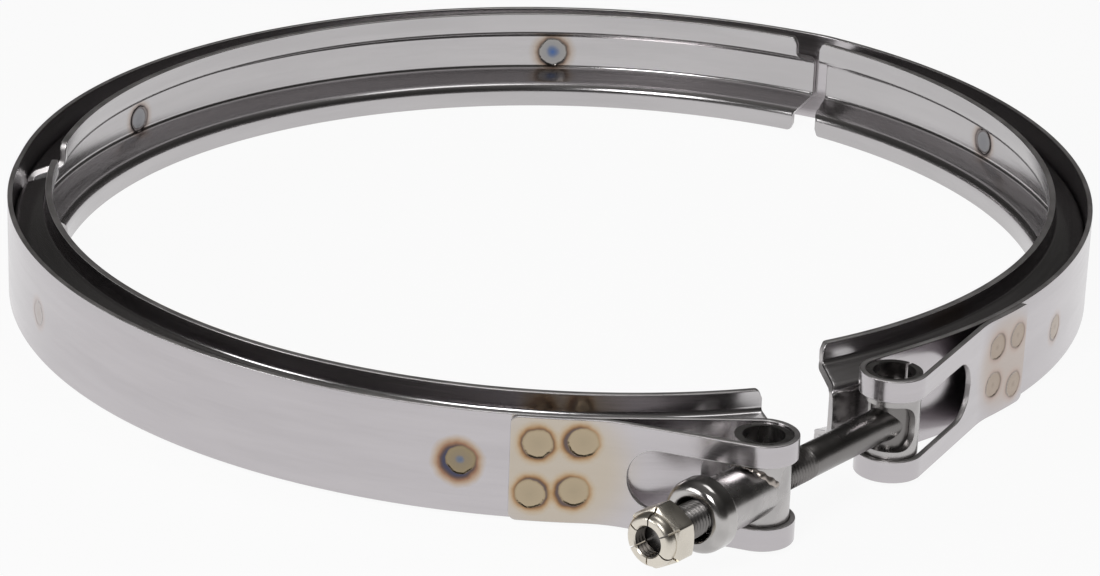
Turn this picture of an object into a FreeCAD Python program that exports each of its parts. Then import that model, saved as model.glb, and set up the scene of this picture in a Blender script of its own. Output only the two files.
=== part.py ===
import FreeCAD
import Part
import Sketcher
import math
import os
from FreeCAD import Placement, Rotation, Vector

# V-band exhaust clamp with a T-bolt latch, in millimetres.
# Frame: Z is the axis of the ring, the origin is the centre of the back third of the ring at
# half its height, X runs to the right and Y away from the latch.
# Three hat-section retainers are spot-welded inside one outer band. Between the retainers the
# band bends like a hinge, so the front third and the right third are drawn as turned arcs.

os.makedirs("parts", exist_ok=True)
doc = FreeCAD.newDocument("exhaust_clamp")

sizes = {
    # outer band: one steel strip, bent round, its ends folded back into loops
    "band_outer_radius": 145.0,
    "band_thickness": 1.3,
    "band_width": 25.2,
    "left_gap_angle": 179.0,
    "right_gap_angle": 62.0,
    "front_turn_angle": -2.33,
    "right_turn_angle": -6.84,
    "hinge_radius": 30.0,
    # folded ends of the band: loop, strap laid back on the band, weld field
    "left_loop_angle": 285.64,
    "right_loop_angle": 304.86,
    "left_loop_standoff": 3.2,
    "right_loop_standoff": 0.85,
    "loop_clearance": 0.1,
    "strap_bend_radius": 30.0,
    "left_strap_bend_angle": 271.0,
    "right_strap_bend_angle": 320.7,
    "left_strap_end_angle": 264.6,
    "right_strap_end_angle": 326.4,
    "eye_tip_angle": 1.3,
    "strap_corner_radius": 2.0,
    "slot_height": 14.4,
    "strap_slot_length": 28.5,
    "leg_slot_length": 12.7,
    # hat-section retainers
    "retainer_thickness": 1.6,
    "retainer_height": 28.0,
    "retainer_depth": 9.8,
    "web_height": 12.2,
    "leg_angle": 20.0,
    "bend_radius": 1.4,
    "lip_trim": 2.4,
    "lip_corner_radius": 2.0,
    "back_right_end_angle": 62.9,
    "back_left_end_angle": 177.7,
    "front_back_end_angle": 177.9,
    "front_latch_end_angle": 289.0,
    "right_latch_end_angle": 300.8,
    "right_back_end_angle": 414.3,
    # trunnion in the left loop
    "pin_radius": 6.55,
    "pin_length": 24.2,
    "pin_bore_radius": 4.75,
    "barrel_radius": 6.5,
    "barrel_length": 19.1,
    "bolt_clearance": 1.1,
    # rounded cap on the nose of the barrel
    "cap_radius": 8.4,
    "cap_length": 5.9,
    "cap_round": 2.7,
    "cap_back_round": 0.5,
    # rolled sleeve in the right loop, with a seam behind and a window for the bolt
    "sleeve_wall": 1.6,
    "sleeve_seam": 0.7,
    "window_height": 11.0,
    "window_back": 0.1,
    "window_corner_radius": 4.3,
    # T-bolt
    "bolt_radius": 3.97,
    "bolt_length": 86.4,
    "thread_start": 27.0,
    "bolt_chamfer": 0.7,
    "head_clearance": 0.1,
    "head_length": 14.0,
    "flare_radius": 4.6,
    "flare_length": 7.0,
    # lock nut
    "nut_across_flats": 12.7,
    "nut_hex_length": 5.9,
    "nut_crown_length": 2.4,
    "nut_crown_radius": 6.05,
    "nut_crown_round": 1.3,
    "nut_chamfer_angle": 30.0,
    "nut_slot_width": 0.45,
    "nut_slot_depth": 3.2,
    "nut_seat_gap": 7.0,
    "nut_turn_angle": 31.0,
    "thread_clearance": 0.08,
}

sheet = doc.addObject("Spreadsheet::Sheet", "Sizes")
for row, (alias, number) in enumerate(sizes.items(), start=1):
    sheet.set(f"A{row}", alias)
    sheet.set(f"B{row}", str(number))
    sheet.setAlias(f"B{row}", alias)
doc.recompute()


def value(expression):
    """Number that an expression over the sheet has now."""
    return float(sheet.evalExpression(expression))


def S(name):
    """Cell of the sheet, as it is written in an expression."""
    return f"Sizes.{name}"


# Lengths that follow from the cells.
bandInner = f"({S('band_outer_radius')} - {S('band_thickness')})"
strapOuter = f"({S('band_outer_radius')} + {S('band_thickness')})"
loopInner = f"({S('pin_radius')} + {S('loop_clearance')})"
loopOuter = f"({loopInner} + {S('band_thickness')})"


def onCircle(centre, radius, angle):
    """Expressions of a point on a circle, at an angle in degrees."""
    x, y = centre
    return (f"({x} + {radius} * cos({angle}))", f"({y} + {radius} * sin({angle}))")


# Centres of the three arcs of the ring. The front and right arcs turn about a point of the band
# in the middle of their gap.
backCentre = ("0", "0")
frontCentre = tuple(
    f"({S('band_outer_radius')} * ({f}({S('left_gap_angle')})"
    f" - {f}({S('left_gap_angle')} + {S('front_turn_angle')})))" for f in ("cos", "sin"))
rightCentre = tuple(
    f"({S('band_outer_radius')} * ({f}({S('right_gap_angle')})"
    f" - {f}({S('right_gap_angle')} + {S('right_turn_angle')})))" for f in ("cos", "sin"))

# Upright axes of the two loops: the left one holds the trunnion, the right one the sleeve.
leftAxis = onCircle(
    frontCentre, f"({bandInner} + {S('left_loop_standoff')} + {loopOuter})", S("left_loop_angle"))
rightAxis = onCircle(
    rightCentre, f"({bandInner} + {S('right_loop_standoff')} + {loopOuter})", S("right_loop_angle"))

# The bolt points from the right loop to the left one.
boltAngle = f"(atan2({leftAxis[1]} - {rightAxis[1]}; {leftAxis[0]} - {rightAxis[0]}) / 1 deg)"
axisSpan = f"sqrt(({leftAxis[0]} - {rightAxis[0]})^2 + ({leftAxis[1]} - {rightAxis[1]})^2)"


def numbers(pair):
    return Vector(value(pair[0]), value(pair[1]), 0)


def place(feature, centre=("0", "0"), angle="0", height="0"):
    """Bind a feature's place: a point of the plan, a height and a turn about Z."""
    feature.Placement = Placement(Vector(), Rotation(Vector(0, 0, 1), 1))
    feature.setExpression("Placement.Base.x", centre[0])
    feature.setExpression("Placement.Base.y", centre[1])
    feature.setExpression("Placement.Base.z", height)
    feature.setExpression("Placement.Rotation.Angle", angle)


# Outlines in sketches
def attachedSketch(body, name, role):
    sketch = body.newObject("Sketcher::SketchObject", name)
    plane = next(f for f in body.Origin.OriginFeatures if f.Role == role)
    sketch.AttachmentSupport = [(plane, "")]
    sketch.MapMode = "FlatFace"
    return sketch


def constrain(sketch, expression, kind, *where):
    """Add a measured constraint and bind it to an expression."""
    index = sketch.addConstraint(Sketcher.Constraint(kind, *where, value(expression)))
    sketch.setExpression(f"Constraints[{index}]", expression)


def fixPoint(sketch, geometry, end, point):
    constrain(sketch, point[0], "DistanceX", -1, 1, geometry, end)
    constrain(sketch, point[1], "DistanceY", -1, 1, geometry, end)


def polygon(sketch, points):
    """Closed outline of straight lines through points given as pairs of expressions."""
    corners = [numbers(p) for p in points]
    lines = [
        sketch.addGeometry(Part.LineSegment(a, b), False)
        for a, b in zip(corners, corners[1:] + corners[:1])]
    for here, after in zip(lines, lines[1:] + lines[:1]):
        sketch.addConstraint(Sketcher.Constraint("Coincident", here, 2, after, 1))
    for line, point in zip(lines, points):
        fixPoint(sketch, line, 1, point)
    return lines


def tangentPoints(first, second):
    """Where the common tangent leaves one directed circle and meets the next.

    A circle is (centre, radius, sense), with sense 1 for anticlockwise travel and -1 for
    clockwise. The normal on the left of the tangent makes the angle with the line of centres
    whose cosine is the difference of the signed radii over the distance.
    """
    (centreA, radiusA, senseA), (centreB, radiusB, senseB) = first, second
    between = centreB - centreA
    cosine = (senseB * radiusB - senseA * radiusA) / between.Length
    turn = math.acos(max(-1.0, min(1.0, cosine)))
    line = math.atan2(between.y, between.x)
    options = [Vector(math.cos(line + t), math.sin(line + t), 0) for t in (turn, -turn)]
    normal = max(options, key=lambda n: n.y * between.x - n.x * between.y)
    return centreA - normal * senseA * radiusA, centreB - normal * senseB * radiusB


def arcGeometry(centre, radius, sense, start, end):
    """Arc from start to end, and which of its ends (1 or 2) is where travel starts and stops."""
    circle = Part.Circle(centre, Vector(0, 0, 1), radius)
    low, high = (start, end) if sense > 0 else (end, start)
    a, b = (math.atan2(p.y - centre.y, p.x - centre.x) for p in (low, high))
    if b <= a:
        b += 2 * math.pi
    return Part.ArcOfCircle(circle, a, b), (1, 2) if sense > 0 else (2, 1)


def tangentRun(sketch, circles, start, end):
    """Chain of arcs joined by their common tangents. Returns its first and last piece.

    Each circle is (centre expressions or None, centre, radius expression, sense). A circle with
    no centre expressions is a bend: its neighbours place it.
    """
    directed = [(c, value(r), s) for _, c, r, s in circles]
    joints = [tangentPoints(a, b) for a, b in zip(directed, directed[1:])]
    starts = [start] + [b for _, b in joints]
    ends = [a for a, _ in joints] + [end]
    pieces = []
    for (bound, centre, radius, sense), begin, stop in zip(circles, starts, ends):
        arc, travel = arcGeometry(centre, value(radius), sense, begin, stop)
        index = sketch.addGeometry(arc, False)
        constrain(sketch, radius, "Radius", index)
        if bound:
            fixPoint(sketch, index, 3, bound)
        if pieces and (begin - ends[len(pieces) - 1]).Length > 0.001:
            line = sketch.addGeometry(Part.LineSegment(ends[len(pieces) - 1], begin), False)
            previous, last = pieces[-1]
            sketch.addConstraint(Sketcher.Constraint("Tangent", previous, last[1], line, 1))
            sketch.addConstraint(Sketcher.Constraint("Tangent", line, 2, index, travel[0]))
        elif pieces:
            previous, last = pieces[-1]
            sketch.addConstraint(Sketcher.Constraint("Tangent", previous, last[1], index, travel[0]))
        pieces.append((index, travel))
    return pieces[0], pieces[-1]


def joined(sketch, here, after):
    """Straight line that closes the outline between two free ends."""
    (fromPiece, fromTravel), (toPiece, toTravel) = here, after
    ends = [sketch.getPoint(fromPiece, fromTravel[1]), sketch.getPoint(toPiece, toTravel[0])]
    line = sketch.addGeometry(Part.LineSegment(*ends), False)
    sketch.addConstraint(Sketcher.Constraint("Coincident", fromPiece, fromTravel[1], line, 1))
    sketch.addConstraint(Sketcher.Constraint("Coincident", line, 2, toPiece, toTravel[0]))


# Solids shared by several pieces
def newBody(name):
    return doc.addObject("PartDesign::Body", name)


def pad(body, sketch, name, length, symmetric=False, reverse=False):
    feature = body.newObject("PartDesign::Pad", name)
    feature.Profile = sketch
    feature.SideType = "Symmetric" if symmetric else "One side"
    feature.Reversed = reverse
    feature.setExpression("Length", length)
    return feature


def pocket(body, sketch, name, length, symmetric=False, reverse=False):
    """Pocket whose loss of volume is compared before and after."""
    doc.recompute()
    before = body.Shape.Volume
    feature = body.newObject("PartDesign::Pocket", name)
    feature.Profile = sketch
    feature.SideType = "Symmetric" if symmetric else "One side"
    feature.Reversed = reverse
    feature.setExpression("Length", length)
    doc.recompute()
    if not body.Shape.Volume < before - 0.01:
        raise ValueError(f"{name} removed nothing")
    return feature


def revolve(body, sketch, name, axis, angle="360", symmetric=False):
    feature = body.newObject("PartDesign::Revolution", name)
    feature.Profile = sketch
    feature.ReferenceAxis = (sketch, [axis])
    feature.Midplane = symmetric
    feature.setExpression("Angle", angle)
    return feature


def disc(body, name, role, radius):
    """Sketch of one circle about the origin of a plane."""
    sketch = attachedSketch(body, name, role)
    circle = sketch.addGeometry(Part.Circle(Vector(), Vector(0, 0, 1), value(radius)), False)
    sketch.addConstraint(Sketcher.Constraint("Coincident", circle, 3, -1, 1))
    constrain(sketch, radius, "Radius", circle)
    return sketch


def combined(kind, name, base, tools):
    """Cut or join, with several tools gathered first."""
    if len(tools) > 1:
        gathered = doc.addObject("Part::MultiFuse", name + "Tools")
        gathered.Shapes = tools
        tools = [gathered]
    feature = doc.addObject(kind, name)
    feature.Base = base
    feature.Tool = tools[0]
    return feature


# Retainers: hat section turned about the ring axis
legShift = f"({S('retainer_thickness')} * (1 - sin({S('leg_angle')})) / cos({S('leg_angle')}))"
webOuter = bandInner
webInner = f"({webOuter} - {S('retainer_thickness')})"
lipInner = f"({webOuter} - {S('retainer_depth')})"
lipOuter = f"({lipInner} + {S('retainer_thickness')})"
webCorner = f"({S('web_height')} / 2)"
lipCorner = f"({webCorner} + ({webOuter} - {lipOuter}) * tan({S('leg_angle')}))"
lipTop = f"({S('retainer_height')} / 2)"


def bend(corner, radius, towardCentre):
    """Two points of a bend whose sharp corner is given: it is drawn as one flat.

    towardCentre is the direction from the corner to the centre of the bend.
    """
    half = f"((90 - {S('leg_angle')}) / 2)"
    middle = f"({radius} / cos({half}))"
    centre = (f"({corner[0]} + {middle} * cos({towardCentre}))",
              f"({corner[1]} + {middle} * sin({towardCentre}))")
    return [
        (f"({centre[0]} - {radius} * cos({towardCentre} + {turn} * {half}))",
         f"({centre[1]} - {radius} * sin({towardCentre} + {turn} * {half}))")
        for turn in (-1, 1)]


webBendCentre = f"(225 - {S('leg_angle')} / 2)"
lipBendCentre = f"((90 - {S('leg_angle')}) / 2)"
tightBend = S("bend_radius")
wideBend = f"({S('bend_radius')} + {S('retainer_thickness')})"


def retainer(name, centre, start, end):
    body = newBody(name)
    profile = attachedSketch(body, name + "_profile", "XZ_Plane")
    upper = bend((webOuter, webCorner), wideBend, webBendCentre)
    upper += reversed(bend((lipOuter, lipCorner), tightBend, lipBendCentre))
    upper += [(lipOuter, lipTop), (lipInner, lipTop)]
    upper += bend((lipInner, f"({lipCorner} - {legShift})"), wideBend, lipBendCentre)
    upper += reversed(bend((webInner, f"({webCorner} - {legShift})"), tightBend, webBendCentre))
    lower = [(r, f"(-{z})") for r, z in reversed(upper)]
    polygon(profile, upper + lower)
    span = f"(({end}) - ({start}))"
    revolve(body, profile, name + "_turned", "V_Axis", span, symmetric=True)

    # both lips are cut back on a slant at the ends, with a round corner
    trim = attachedSketch(body, name + "_trim", "YZ_Plane")
    trim.AttachmentOffset = Placement(Vector(), Rotation(Vector(0, 1, 0), -1))
    trim.setExpression("AttachmentOffset.Rotation.Angle", f"-{span} / 2")
    back, corner = S("lip_trim"), S("lip_corner_radius")
    foot = f"({webCorner} - {legShift})"
    for up in ("1", "(-1)"):
        points = [
            ("(-1)", f"({up} * {foot})"), ("0", f"({up} * {foot})"), (back, f"({up} * {lipCorner})"),
            (back, f"({up} * ({lipTop} - {corner}))"),
            (f"({back} + {corner})", f"({up} * {lipTop})"),
            (f"({back} + {corner})", f"({up} * ({lipTop} + 1))"), ("(-1)", f"({up} * ({lipTop} + 1))")]
        corners = [numbers(p) for p in points]
        middle = Vector(
            value(f"{back} + {corner} * (1 - cos(45))"),
            value(f"{up} * ({lipTop} - {corner} * (1 - sin(45)))"), 0)
        pieces = []
        for here, (a, b) in enumerate(zip(corners, corners[1:] + corners[:1])):
            shape = Part.Arc(a, middle, b) if here == 3 else Part.LineSegment(a, b)
            pieces.append(trim.addGeometry(shape, False))
        arc = pieces[3]
        ends = {p: (1, 2) for p in pieces}
        if (trim.getPoint(arc, 1) - corners[3]).Length > 1e-6:
            ends[arc] = (2, 1)
        for here, after in zip(pieces, pieces[1:] + pieces[:1]):
            trim.addConstraint(
                Sketcher.Constraint("Coincident", here, ends[here][1], after, ends[after][0]))
        for piece, point in zip(pieces, points):
            fixPoint(trim, piece, ends[piece][0], point)
        constrain(trim, corner, "Radius", arc)
    cut = pocket(body, trim, name + "_lip_trim", f"{S('band_outer_radius')} + 5", reverse=True)
    mirrored = body.newObject("PartDesign::Mirrored", name + "_other_end")
    mirrored.Originals = [cut]
    across = next(f for f in body.Origin.OriginFeatures if f.Role == "XZ_Plane")
    mirrored.MirrorPlane = (across, [""])
    body.Tip = mirrored
    place(body, centre, f"(({start}) + ({end})) / 2")
    return body


retainers = [
    retainer("retainer_back", backCentre, S("back_right_end_angle"), S("back_left_end_angle")),
    retainer("retainer_front", frontCentre, S("front_back_end_angle"), S("front_latch_end_angle")),
    retainer("retainer_right", rightCentre, S("right_latch_end_angle"), S("right_back_end_angle"))]


# Outer band: the strip seen along the axis, with the loop of each folded end
bendRadius = S("strap_bend_radius")
bendInnerRadius = f"({bendRadius} + {S('band_thickness')})"
bendReach = f"({strapOuter} + {bendRadius})"
ringOuter = S("band_outer_radius")
hingeInner = S("hinge_radius")
hingeOuter = f"({hingeInner} + {S('band_thickness')})"
leftBend = onCircle(frontCentre, bendReach, S("left_strap_bend_angle"))
rightBend = onCircle(rightCentre, bendReach, S("right_strap_bend_angle"))

# The hinge at the right gap is a tighter arc that touches the back and right arcs from within.
reach = value(f"{bandInner} - {hingeInner}")
toRight = numbers(rightCentre)
half = toRight.Length / 2
side = Vector(toRight.y, -toRight.x, 0).normalize() * math.sqrt(reach**2 - half**2)
hingeCentre = max((toRight / 2 + side, toRight / 2 - side), key=lambda p: p.y)

band = newBody("outer_band_body")
outline = attachedSketch(band, "outer_band_outline", "XY_Plane")
rightEnd = onCircle(rightCentre, strapOuter, S("right_strap_end_angle"))
leftEnd = onCircle(frontCentre, strapOuter, S("left_strap_end_angle"))
inside = tangentRun(outline, [
    (rightCentre, numbers(rightCentre), strapOuter, -1),
    (None, numbers(rightBend), bendRadius, 1),
    (rightAxis, numbers(rightAxis), loopOuter, -1),
    (rightCentre, numbers(rightCentre), bandInner, 1),
    (None, hingeCentre, hingeInner, 1),
    (backCentre, numbers(backCentre), bandInner, 1),
    (frontCentre, numbers(frontCentre), bandInner, 1),
    (leftAxis, numbers(leftAxis), loopOuter, -1),
    (None, numbers(leftBend), bendRadius, 1),
    (frontCentre, numbers(frontCentre), strapOuter, -1)],
    numbers(rightEnd), numbers(leftEnd))
rightStep = onCircle(rightCentre, ringOuter, S("right_strap_end_angle"))
leftStep = onCircle(frontCentre, ringOuter, S("left_strap_end_angle"))
outside = tangentRun(outline, [
    (frontCentre, numbers(frontCentre), ringOuter, -1),
    (backCentre, numbers(backCentre), ringOuter, -1),
    (None, hingeCentre, hingeOuter, -1),
    (rightCentre, numbers(rightCentre), ringOuter, -1)],
    numbers(leftStep), numbers(rightStep))
for (piece, travel), which, point in (
        (inside[0], 0, rightEnd), (inside[1], 1, leftEnd),
        (outside[0], 0, leftStep), (outside[1], 1, rightStep)):
    constrain(outline, point[0], "DistanceX", -1, 1, piece, travel[which])
joined(outline, inside[1], outside[0])
joined(outline, outside[1], inside[0])
# the bends start at a named place of the straps
for (piece, travel), which, angle, centre in (
        (inside[0], 1, "right_strap_bend_angle", rightCentre),
        (inside[1], 0, "left_strap_bend_angle", frontCentre)):
    point = onCircle(centre, strapOuter, S(angle))
    constrain(outline, point[0], "DistanceX", -1, 1, piece, travel[which])


def eye(name, centre, bend, axis, angle, side):
    """Hole between strap, loop and leg; side is 1 at the right loop and -1 at the left one."""
    sketch = attachedSketch(band, name, "XY_Plane")
    tip = f"({angle} - {side} * {S('eye_tip_angle')})"
    onRing = onCircle(centre, ringOuter, tip)
    rise = (f"({bendReach} * cos({S('eye_tip_angle')}) - sqrt({bendInnerRadius}^2"
            f" - ({bendReach} * sin({S('eye_tip_angle')}))^2))")
    onBend = onCircle(centre, rise, tip)
    circles = [
        (bend, numbers(bend), bendInnerRadius, 1),
        (axis, numbers(axis), loopInner, -1),
        (centre, numbers(centre), ringOuter, 1)]
    ends = [onBend, onRing]
    if side < 0:
        circles.reverse()
        ends.reverse()
    first, last = tangentRun(sketch, circles, numbers(ends[0]), numbers(ends[1]))
    for (piece, travel), which, point in ((first, 0, ends[0]), (last, 1, ends[1])):
        constrain(sketch, point[0], "DistanceX", -1, 1, piece, travel[which])
    joined(sketch, last, first)
    return sketch


rightEye = eye("right_eye", rightCentre, rightBend, rightAxis, S("right_strap_bend_angle"), 1)
leftEye = eye("left_eye", frontCentre, leftBend, leftAxis, S("left_strap_bend_angle"), -1)
pad(band, outline, "outer_band_strip", S("band_width"), symmetric=True)
for sketch in (rightEye, leftEye):
    pocket(band, sketch, sketch.Name + "_opening", f"{S('band_width')} + 2", symmetric=True)


def slotTool(name, base, direction, offset, length, back, depth):
    """Round-ended slot seen square to a strap: its end lies at length from the loop's axis."""
    body = newBody(name)
    sketch = attachedSketch(body, name + "_outline", "XZ_Plane")
    half = f"({S('slot_height')} / 2)"
    arcAt = f"({length} - {half})"
    points = [(arcAt, half), (f"(-{back})", half), (f"(-{back})", f"(-{half})"),
              (arcAt, f"(-{half})")]
    corners = [numbers(p) for p in points]
    lines = [sketch.addGeometry(Part.LineSegment(a, b), False)
             for a, b in zip(corners, corners[1:])]
    for here, after in zip(lines, lines[1:]):
        sketch.addConstraint(Sketcher.Constraint("Coincident", here, 2, after, 1))
    fixPoint(sketch, lines[0], 1, points[0])
    fixPoint(sketch, lines[1], 1, points[1])
    fixPoint(sketch, lines[2], 1, points[2])
    fixPoint(sketch, lines[2], 2, points[3])
    circle = Part.Circle(numbers((arcAt, "0")), Vector(0, 0, 1), value(half))
    arc = sketch.addGeometry(Part.ArcOfCircle(circle, -math.pi / 2, math.pi / 2), False)
    sketch.addConstraint(Sketcher.Constraint("Coincident", lines[2], 2, arc, 1))
    sketch.addConstraint(Sketcher.Constraint("Coincident", arc, 2, lines[0], 1))
    constrain(sketch, arcAt, "DistanceX", -1, 1, arc, 3)
    pad(body, sketch, name + "_depth", depth, symmetric=True)
    square = (f"({base[0]} - ({offset}) * sin({direction}))",
              f"({base[1]} + ({offset}) * cos({direction}))")
    place(body, square, direction)
    return body


def slots(name, axis, centre, bend, angle, distance, side):
    """The slot through a loop: short in the leg, long in the strap."""
    legTilt = f"(asin(({bandInner} + {loopOuter}) / ({distance})) / 1 deg)"
    legDirection = f"({angle} + 180 - {side} * {legTilt})"
    span = f"sqrt(({bend[0]} - {axis[0]})^2 + ({bend[1]} - {axis[1]})^2)"
    strapTilt = f"(asin(({bendRadius} + {loopOuter}) / {span}) / 1 deg)"
    toBend = f"(atan2({bend[1]} - {axis[1]}; {bend[0]} - {axis[0]}) / 1 deg)"
    strapDirection = f"({toBend} + {side} * {strapTilt})"
    thickness = S("band_thickness")
    return [
        slotTool(name + "_leg_slot", axis, legDirection, "0", S("leg_slot_length"),
                 f"({loopOuter} + 1)", f"2 * ({loopOuter} + 1)"),
        slotTool(name + "_strap_slot", axis, strapDirection,
                 f"(-{side}) * ({loopOuter} - {thickness} / 2 + 0.05)",
                 S("strap_slot_length"), "0.5", f"{thickness} + 0.9")]


bandTools = slots(
    "left", leftAxis, frontCentre, leftBend, S("left_loop_angle"),
    f"{bandInner} + {S('left_loop_standoff')} + {loopOuter}", -1)
bandTools += slots(
    "right", rightAxis, rightCentre, rightBend, S("right_loop_angle"),
    f"{bandInner} + {S('right_loop_standoff')} + {loopOuter}", 1)


def endCorners(name, centre, angle, side):
    """Tool that rounds both corners of a strap's cut end and spares the band under it."""
    body = newBody(name)
    sketch = attachedSketch(body, name + "_outline", "YZ_Plane")
    radius = S("strap_corner_radius")
    top = f"({S('band_width')} / 2)"
    for up in (1, -1):
        corner = (f"({side} * (-{radius}))", f"({up} * {top})")
        square = [corner, (f"({side} * 1)", f"({up} * {top})"),
                  (f"({side} * 1)", f"({up} * ({top} + 1))"), (corner[0], f"({up} * ({top} + 1))")]
        foot = ("0", f"({up} * ({top} - {radius}))")
        outer = (f"({side} * 1)", foot[1])
        points = [corner, (corner[0], f"({up} * ({top} + 1))"),
                  (f"({side} * 1)", f"({up} * ({top} + 1))"), outer, foot]
        spots = [numbers(p) for p in points]
        lines = [sketch.addGeometry(Part.LineSegment(a, b), False)
                 for a, b in zip(spots, spots[1:])]
        for here, after in zip(lines, lines[1:]):
            sketch.addConstraint(Sketcher.Constraint("Coincident", here, 2, after, 1))
        for line, point in zip(lines, points):
            fixPoint(sketch, line, 1, point)
        fixPoint(sketch, lines[-1], 2, foot)
        middle = Vector(
            value(f"{side} * {radius} * (sin(45) - 1)"),
            value(f"{up} * ({top} - {radius} * (1 - sin(45)))"), 0)
        shape = Part.Arc(spots[4], middle, spots[0])
        arc = sketch.addGeometry(shape, False)
        first = 1 if (sketch.getPoint(arc, 1) - spots[4]).Length < 1e-6 else 2
        sketch.addConstraint(Sketcher.Constraint("Coincident", lines[-1], 2, arc, first))
        sketch.addConstraint(Sketcher.Constraint("Coincident", arc, 3 - first, lines[0], 1))
        constrain(sketch, radius, "Radius", arc)
    pad(body, sketch, name + "_depth", f"{ringOuter} + 10")
    place(body, centre, angle)
    core = doc.addObject("Part::Cylinder", name + "_core")
    core.setExpression("Radius", ringOuter)
    core.setExpression("Height", f"2 * {S('band_width')}")
    place(core, centre, "0", f"-{S('band_width')}")
    return combined("Part::Cut", name + "_tool", body, [core])


bandTools.append(endCorners("left_strap_corners", frontCentre, S("left_strap_end_angle"), -1))
bandTools.append(endCorners("right_strap_corners", rightCentre, S("right_strap_end_angle"), 1))
outerBand = combined("Part::Cut", "outer_band", band, bandTools)


# Latch: in each body X points along the bolt
def rectangle(sketch, left, right, low, high):
    return polygon(sketch, [(left, low), (right, low), (right, high), (left, high)])


trunnion = newBody("trunnion")
tube = disc(trunnion, "trunnion_tube_outline", "XY_Plane", S("pin_radius"))
pad(trunnion, tube, "trunnion_tube", S("pin_length"), symmetric=True)
barrel = disc(trunnion, "trunnion_barrel_outline", "YZ_Plane", S("barrel_radius"))
pad(trunnion, barrel, "trunnion_barrel", S("barrel_length"))
bore = disc(trunnion, "trunnion_tube_bore_outline", "XY_Plane", S("pin_bore_radius"))
pocket(trunnion, bore, "trunnion_tube_bore", f"{S('pin_length')} + 2", symmetric=True)
boltHole = f"({S('bolt_radius')} + {S('bolt_clearance')})"
bore = disc(trunnion, "trunnion_bolt_hole_outline", "YZ_Plane", boltHole)
pocket(trunnion, bore, "trunnion_bolt_hole", f"2 * {S('barrel_length')} + 4", symmetric=True)
place(trunnion, leftAxis, boltAngle)


def turnedAlongBolt(body, name, points):
    """Solid turned about the bolt's axis from an outline of (distance along it, radius)."""
    sketch = attachedSketch(body, name + "_outline", "XZ_Plane")
    polygon(sketch, points)
    return revolve(body, sketch, name, "H_Axis")


def roundedRim(x, radius, rounding, forward, steps):
    """Points over a rounded rim, from its round side to its face, drawn as flats."""
    return [
        (f"({x} - {forward} * {rounding} * (1 - sin({90 * k / steps})))",
         f"({radius} - {rounding} * (1 - cos({90 * k / steps})))")
        for k in range(steps + 1)]


cap = newBody("barrel_cap")
seat, nose = S("barrel_length"), f"({S('barrel_length')} + {S('cap_length')})"
frontRim = roundedRim(nose, S("cap_radius"), S("cap_round"), 1, 3)
backRim = roundedRim(seat, S("cap_radius"), S("cap_back_round"), -1, 1)
turnedAlongBolt(cap, "cap_ring", [(seat, boltHole), (nose, boltHole)]
                + frontRim[::-1] + backRim)
place(cap, leftAxis, boltAngle)

sleeve = newBody("bolt_sleeve")
sleeveInner = f"({S('pin_radius')} - {S('sleeve_wall')})"
tube = disc(sleeve, "sleeve_outline", "XY_Plane", S("pin_radius"))
pad(sleeve, tube, "sleeve_tube", S("pin_length"), symmetric=True)
bore = disc(sleeve, "sleeve_bore_outline", "XY_Plane", sleeveInner)
pocket(sleeve, bore, "sleeve_bore", f"{S('pin_length')} + 2", symmetric=True)
seam = attachedSketch(sleeve, "sleeve_seam_outline", "XY_Plane")
rectangle(seam, f"(-{S('pin_radius')} - 1)", "0", f"(-{S('sleeve_seam')} / 2)",
          f"({S('sleeve_seam')} / 2)")
pocket(sleeve, seam, "sleeve_seam_slot", f"{S('pin_length')} + 2", symmetric=True)
window = attachedSketch(sleeve, "sleeve_window_outline", "XZ_Plane")
backEdge, farEdge = f"(-{S('window_back')})", f"({S('pin_radius')} + 1)"
rim, corner = f"({S('window_height')} / 2)", S("window_corner_radius")
points = [
    (f"({backEdge} + {corner})", f"(-{rim})"), (farEdge, f"(-{rim})"), (farEdge, rim),
    (f"({backEdge} + {corner})", rim), (backEdge, f"({rim} - {corner})"),
    (backEdge, f"(-({rim} - {corner}))")]
spots = [numbers(p) for p in points]
lines = [window.addGeometry(Part.LineSegment(spots[a], spots[b]), False)
         for a, b in ((0, 1), (1, 2), (2, 3), (4, 5))]
for line, first, second in ((0, 0, 1), (1, 1, 2), (2, 2, 3), (3, 4, 5)):
    fixPoint(window, lines[line], 1, points[first])
for a, b in ((0, 1), (1, 2)):
    window.addConstraint(Sketcher.Constraint("Coincident", lines[a], 2, lines[b], 1))
fixPoint(window, lines[2], 2, points[3])
fixPoint(window, lines[3], 2, points[5])
for high, start, end, low in ((rim, 90, 180, 0), (f"(-{rim})", 180, 270, 1)):
    middle = f"({high} + {corner})" if low else f"({high} - {corner})"
    circle = Part.Circle(numbers((f"({backEdge} + {corner})", middle)), Vector(0, 0, 1),
                         value(corner))
    arc = window.addGeometry(
        Part.ArcOfCircle(circle, math.radians(start), math.radians(end)), False)
    straight, upright = ((lines[2], 2), (lines[3], 1)) if not low else ((lines[0], 1), (lines[3], 2))
    ends = (2, 1) if low else (1, 2)
    window.addConstraint(Sketcher.Constraint("Coincident", *straight, arc, ends[0]))
    window.addConstraint(Sketcher.Constraint("Coincident", *upright, arc, ends[1]))
    constrain(window, corner, "Radius", arc)
pocket(sleeve, window, "sleeve_window", f"2 * {S('pin_radius')} + 4", symmetric=True)
place(sleeve, rightAxis, boltAngle)

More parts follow.
